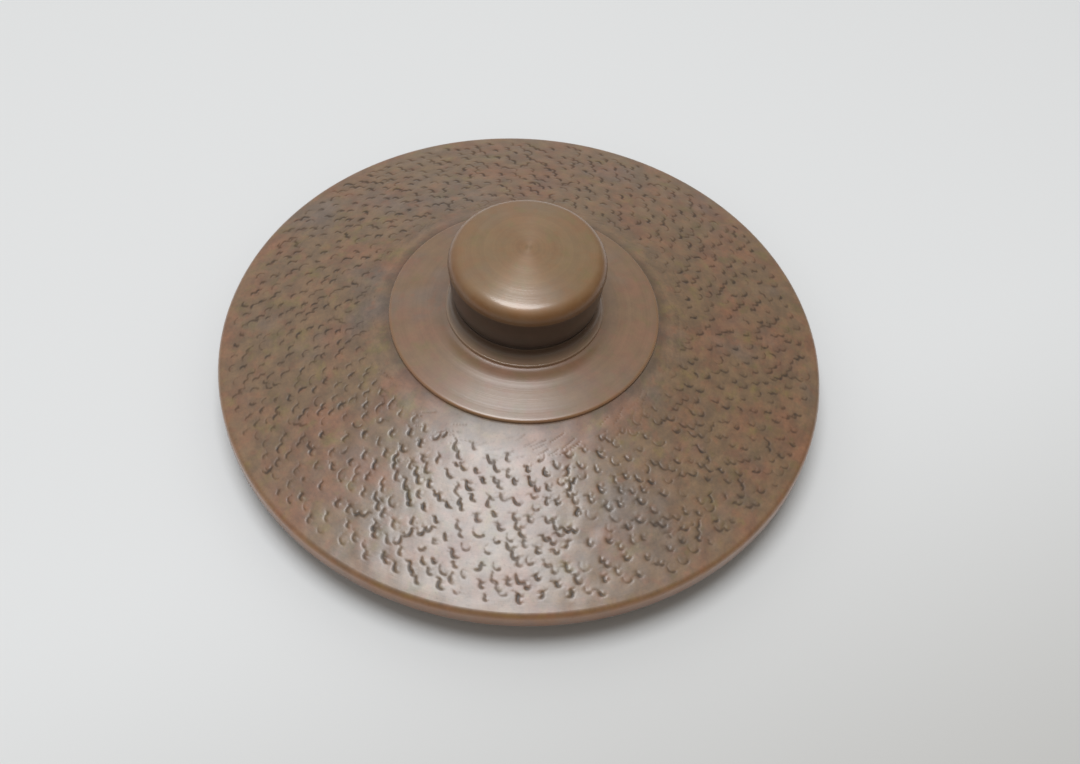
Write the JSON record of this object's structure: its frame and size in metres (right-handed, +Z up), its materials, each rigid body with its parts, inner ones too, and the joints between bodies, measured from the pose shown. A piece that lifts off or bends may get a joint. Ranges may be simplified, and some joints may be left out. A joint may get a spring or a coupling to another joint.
{
  "type": "kettle lid",
  "caption": "Round turned bronze kettle lid with a punched conical plate, a raised turned seat, a hollow knob that spins, and a locating collar underneath.",
  "frame": {"origin": "middle of the collar's lower edge, on the axis, at the bottom of the lid", "axes": "+Z up along the turning axis, from the collar to the knob; the lid is a body of revolution, so X and Y are free"},
  "size_m": [0.095, 0.095, 0.0323],
  "materials": {
    "plate_bronze": "patinated brown bronze, satin, punched all over with small worm-eaten marks",
    "collar_bronze": "turned bronze, thinner brown patina",
    "braze": "dull yellow braze",
    "seat_bronze": "patinated bronze with fine turning lines, satin",
    "knob_bronze": "golden brown patinated bronze, fine turning lines, half gloss",
    "fastener_bronze": "turned and peened bronze, satin"
  },
  "bodies": {
    "lid": {"lid_plate": "plate_bronze", "mouth_collar": "collar_bronze", "collar_braze": "braze", "knob_seat": "seat_bronze", "knob_foot": "seat_bronze", "knob_stud": "fastener_bronze", "back_washer": "fastener_bronze"},
    "knob": {"knob_body": "knob_bronze", "knob_cap": "knob_bronze", "inner_washer": "fastener_bronze"}
  },
  "joints": [
    {"name": "knob_spin", "type": "hinge", "parent": "lid", "child": "knob", "pos_m": [0, 0, 0.0234], "axis": [0, 0, 1], "continuous": true}
  ]
}
